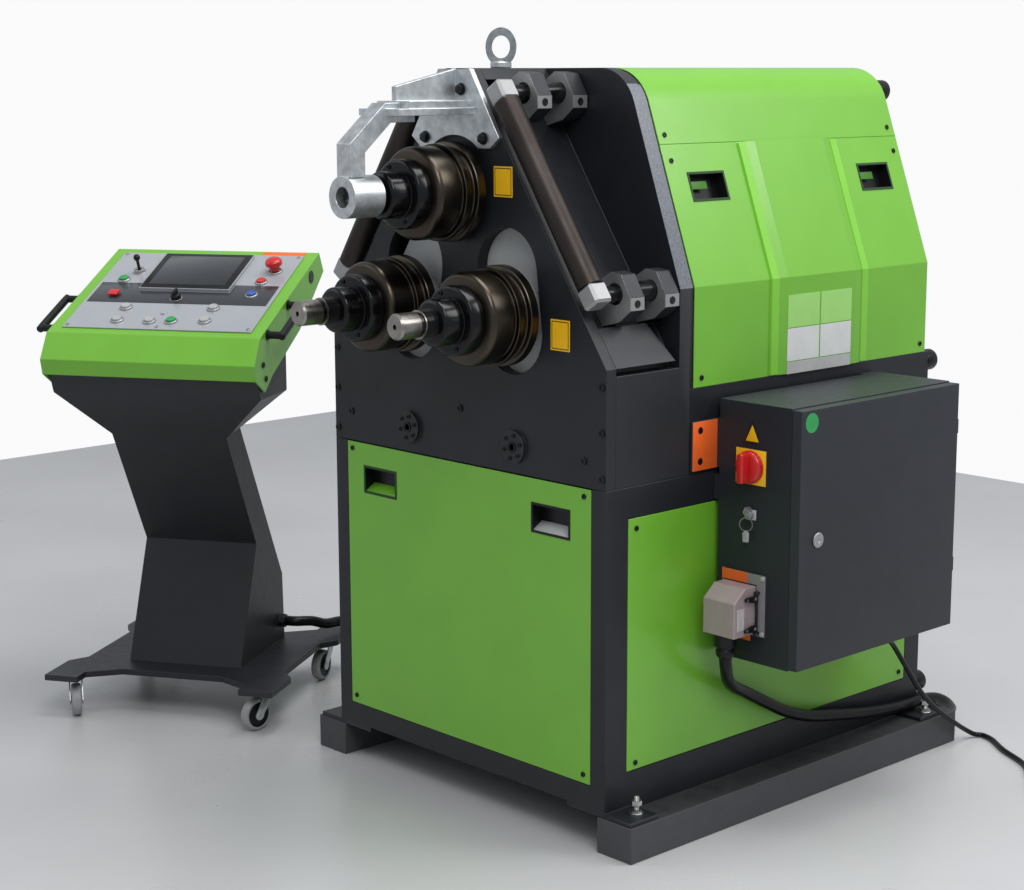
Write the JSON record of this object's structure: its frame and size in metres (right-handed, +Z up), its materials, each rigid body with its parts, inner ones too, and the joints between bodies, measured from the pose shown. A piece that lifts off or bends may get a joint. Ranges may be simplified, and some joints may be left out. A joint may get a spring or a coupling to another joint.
{
  "type": "three-roll tube bender with console",
  "caption": "Three-roll section and tube bending machine with driven rolls, green sheet-metal hood, side switch cabinet and a separate operator console on casters.",
  "frame": {"origin": "centre of the floor area under the object's box, measured without its cables", "axes": "+Z up, -Y out of the machine's front plate and along its roll shafts, +X towards the switch cabinet, away from the console"},
  "size_m": [2.2984, 1.6205, 1.569],
  "materials": {
    "green_paint": "satin powder coat, fine orange peel",
    "dark_paint": "satin anthracite enamel",
    "grey_paint": "satin grey enamel",
    "cabinet_paint": "satin anthracite powder coat",
    "dark_steel": "black oxide with turned marks",
    "roll_steel": "hardened and oiled, dark brown",
    "plain_steel": "machined",
    "zinc": "zinc plated",
    "panel_plastic": "grey membrane film",
    "connector_plastic": "moulded",
    "black_plastic": "moulded",
    "red_plastic": "moulded",
    "green_plastic": "moulded",
    "blue_plastic": "moulded",
    "white_plastic": "moulded",
    "rubber": "matt sheath"
  },
  "bodies": {
    "root": {"base_frame": "dark_paint", "skid_beam_left": "dark_paint", "skid_beam_right": "dark_paint", "front_cover": "green_paint", "side_cover_left": "green_paint", "side_cover_right": "green_paint", "front_plate": "dark_paint", "upper_frame": "dark_paint", "top_cover": "green_paint", "upper_panel_left": "green_paint", "upper_panel_right": "green_paint", "rear_cover": "green_paint", "eye_bolt": "zinc", "outboard_support": "zinc", "power_pack": "grey_paint", "cabinet_body": "cabinet_paint", "connector_hood": "connector_plastic", "console_stand": "dark_paint", "console_head": "green_paint", "console_panel": "panel_plastic", "control_cable": "rubber", "power_cable": "rubber", "power_coil": "rubber", "power_plug": "red_plastic"},
    "upper_roller": {"upper_shaft": "dark_steel", "upper_roll": "roll_steel"},
    "cabinet_door_body": {"cabinet_door": "cabinet_paint"},
    "door_lock_body": {"door_lock": "black_plastic"},
    "main_switch": {"main_switch_knob": "red_plastic"},
    "key": {"switch_key": "plain_steel"},
    "plug_lever": {"connector_lever": "plain_steel"},
    "carriage_left_body": {"carriage_left": "plain_steel"},
    "left_roller": {"left_shaft": "dark_steel", "left_roll": "roll_steel"},
    "guide_left": {"guide_frame_left": "dark_steel"},
    "carriage_right_body": {"carriage_right": "plain_steel"},
    "right_roller": {"right_shaft": "dark_steel", "right_roll": "roll_steel"},
    "guide_right": {"guide_frame_right": "dark_steel"},
    "green_button_body": {"green_button": "green_plastic"},
    "red_button_body": {"red_button": "red_plastic"},
    "blue_button_body": {"blue_button": "blue_plastic"},
    "panel_button_1_body": {"panel_button_1": "white_plastic"},
    "panel_button_2_body": {"panel_button_2": "white_plastic"},
    "panel_button_3_body": {"panel_button_3": "white_plastic"},
    "panel_button_4_body": {"panel_button_4": "white_plastic"},
    "panel_button_5_body": {"panel_button_5": "white_plastic"},
    "panel_button_6_body": {"panel_button_6": "white_plastic"},
    "stop_square_button_body": {"stop_square_button": "red_plastic"},
    "emergency_stop_body": {"emergency_stop": "red_plastic"},
    "selector": {"selector_switch": "black_plastic"},
    "joystick_body": {"joystick": "black_plastic"},
    "caster_front_left": {"caster_fork_front_left": "zinc"},
    "wheel_front_left": {"caster_wheel_front_left": "rubber"},
    "caster_front_right": {"caster_fork_front_right": "zinc"},
    "wheel_front_right": {"caster_wheel_front_right": "rubber"},
    "caster_rear_left": {"caster_fork_rear_left": "zinc"},
    "wheel_rear_left": {"caster_wheel_rear_left": "rubber"},
    "caster_rear_right": {"caster_fork_rear_right": "zinc"},
    "wheel_rear_right": {"caster_wheel_rear_right": "rubber"}
  },
  "joints": [
    {"name": "upper_roller_spin", "type": "hinge", "parent": "root", "child": "upper_roller", "pos_m": [0.37316, -0.41769, 1.253], "axis": [0, 1, 0], "continuous": true},
    {"name": "carriage_left_slide", "type": "slide", "parent": "root", "child": "carriage_left_body", "axis": [0.1305, 0, 0.9914], "range_m": [-0.029, 0.084]},
    {"name": "left_roller_spin", "type": "hinge", "parent": "carriage_left_body", "child": "left_roller", "pos_m": [0.22616, -0.41769, 1.023], "axis": [0, 1, 0], "continuous": true},
    {"name": "guide_left_slide", "type": "slide", "parent": "root", "child": "guide_left", "axis": [0, 1, 0], "range_m": [-0.05, 0.028]},
    {"name": "carriage_right_slide", "type": "slide", "parent": "root", "child": "carriage_right_body", "axis": [-0.1305, 0, 0.9914], "range_m": [-0.029, 0.084]},
    {"name": "right_roller_spin", "type": "hinge", "parent": "carriage_right_body", "child": "right_roller", "pos_m": [0.52016, -0.41769, 1.023], "axis": [0, 1, 0], "continuous": true},
    {"name": "guide_right_slide", "type": "slide", "parent": "root", "child": "guide_right", "axis": [0, 1, 0], "range_m": [-0.05, 0.028]},
    {"name": "cabinet_door_hinge", "type": "hinge", "parent": "root", "child": "cabinet_door_body", "pos_m": [0.97416, 0.47081, 0.6], "axis": [0, 0, 1], "range_deg": [0, 110]},
    {"name": "door_lock_turn", "type": "hinge", "parent": "cabinet_door_body", "child": "door_lock_body", "pos_m": [0.99816, 0.00931, 0.6], "axis": [-1, 0, 0], "range_deg": [0, 90]},
    {"name": "main_switch_turn", "type": "hinge", "parent": "root", "child": "main_switch", "pos_m": [0.87616, -0.05569, 0.733], "axis": [0, -1, 0], "range_deg": [0, 90]},
    {"name": "key_turn", "type": "hinge", "parent": "root", "child": "key", "pos_m": [0.87616, -0.05569, 0.639], "axis": [0, -1, 0], "range_deg": [0, 90]},
    {"name": "plug_lever_turn", "type": "hinge", "parent": "root", "child": "plug_lever", "pos_m": [0.90046, -0.04969, 0.447], "axis": [0, 0, 1], "range_deg": [0, 90]},
    {"name": "green_button_press", "type": "slide", "parent": "root", "child": "green_button_body", "axis": [-0.2003, 0.3181, -0.9266], "range_m": [0, 0.003], "stiffness_N_per_m": 400, "springref_m": -0.001},
    {"name": "red_button_press", "type": "slide", "parent": "root", "child": "red_button_body", "axis": [-0.2003, 0.3181, -0.9266], "range_m": [0, 0.003], "stiffness_N_per_m": 400, "springref_m": -0.001},
    {"name": "blue_button_press", "type": "slide", "parent": "root", "child": "blue_button_body", "axis": [-0.2003, 0.3181, -0.9266], "range_m": [0, 0.003], "stiffness_N_per_m": 400, "springref_m": -0.001},
    {"name": "panel_button_1_press", "type": "slide", "parent": "root", "child": "panel_button_1_body", "axis": [-0.2003, 0.3181, -0.9266], "range_m": [0, 0.003], "stiffness_N_per_m": 400, "springref_m": -0.001},
    {"name": "panel_button_2_press", "type": "slide", "parent": "root", "child": "panel_button_2_body", "axis": [-0.2003, 0.3181, -0.9266], "range_m": [0, 0.003], "stiffness_N_per_m": 400, "springref_m": -0.001},
    {"name": "panel_button_3_press", "type": "slide", "parent": "root", "child": "panel_button_3_body", "axis": [-0.2003, 0.3181, -0.9266], "range_m": [0, 0.003], "stiffness_N_per_m": 400, "springref_m": -0.001},
    {"name": "panel_button_4_press", "type": "slide", "parent": "root", "child": "panel_button_4_body", "axis": [-0.2003, 0.3181, -0.9266], "range_m": [0, 0.003], "stiffness_N_per_m": 400, "springref_m": -0.001},
    {"name": "panel_button_5_press", "type": "slide", "parent": "root", "child": "panel_button_5_body", "axis": [-0.2003, 0.3181, -0.9266], "range_m": [0, 0.003], "stiffness_N_per_m": 400, "springref_m": -0.001},
    {"name": "panel_button_6_press", "type": "slide", "parent": "root", "child": "panel_button_6_body", "axis": [-0.2003, 0.3181, -0.9266], "range_m": [0, 0.003], "stiffness_N_per_m": 400, "springref_m": -0.001},
    {"name": "stop_square_button_press", "type": "slide", "parent": "root", "child": "stop_square_button_body", "axis": [-0.2003, 0.3181, -0.9266], "range_m": [0, 0.003], "stiffness_N_per_m": 400, "springref_m": -0.001},
    {"name": "emergency_stop_press", "type": "slide", "parent": "root", "child": "emergency_stop_body", "axis": [-0.2003, 0.3181, -0.9266], "range_m": [0, 0.005], "stiffness_N_per_m": 400, "springref_m": -0.001},
    {"name": "selector_turn", "type": "hinge", "parent": "root", "child": "selector", "pos_m": [-0.57091, -0.3875, 0.97705], "axis": [0.2003, -0.3181, 0.9266], "range_deg": [-45, 45]},
    {"name": "joystick_tilt", "type": "hinge", "parent": "root", "child": "joystick_body", "pos_m": [-0.75546, -0.36467, 1.02219], "axis": [0.8462, 0.5329, 0], "range_deg": [-15, 15], "stiffness_Nm_per_rad": 0.5},
    {"name": "caster_front_left_swivel", "type": "hinge", "parent": "root", "child": "caster_front_left", "pos_m": [-0.70009, -0.61774, 0.08], "axis": [0, 0, 1], "continuous": true},
    {"name": "wheel_front_left_roll", "type": "hinge", "parent": "caster_front_left", "child": "wheel_front_left", "pos_m": [-0.67564, -0.63138, 0.0375], "axis": [0.4871, 0.8733, 0], "continuous": true},
    {"name": "caster_front_right_swivel", "type": "hinge", "parent": "root", "child": "caster_front_right", "pos_m": [-0.29561, -0.36303, 0.08], "axis": [0, 0, 1], "continuous": true},
    {"name": "wheel_front_right_roll", "type": "hinge", "parent": "caster_front_right", "child": "wheel_front_right", "pos_m": [-0.29388, -0.39097, 0.0375], "axis": [0.9981, 0.062, 0], "continuous": true},
    {"name": "caster_rear_left_swivel", "type": "hinge", "parent": "root", "child": "caster_rear_left", "pos_m": [-0.91751, -0.2725, 0.08], "axis": [0, 0, 1], "continuous": true},
    {"name": "wheel_rear_left_roll", "type": "hinge", "parent": "caster_rear_left", "child": "wheel_rear_left", "pos_m": [-0.90029, -0.29458, 0.0375], "axis": [0.7888, 0.6147, 0], "continuous": true},
    {"name": "caster_rear_right_swivel", "type": "hinge", "parent": "root", "child": "caster_rear_right", "pos_m": [-0.51302, -0.01778, 0.08], "axis": [0, 0, 1], "continuous": true},
    {"name": "wheel_rear_right_roll", "type": "hinge", "parent": "caster_rear_right", "child": "wheel_rear_right", "pos_m": [-0.50054, -0.04285, 0.0375], "axis": [0.8952, 0.4457, 0], "continuous": true}
  ],
  "couplings": [
    {"joint": "left_roller_spin", "follows": "upper_roller_spin", "ratio": -1},
    {"joint": "right_roller_spin", "follows": "upper_roller_spin", "ratio": -1}
  ]
}
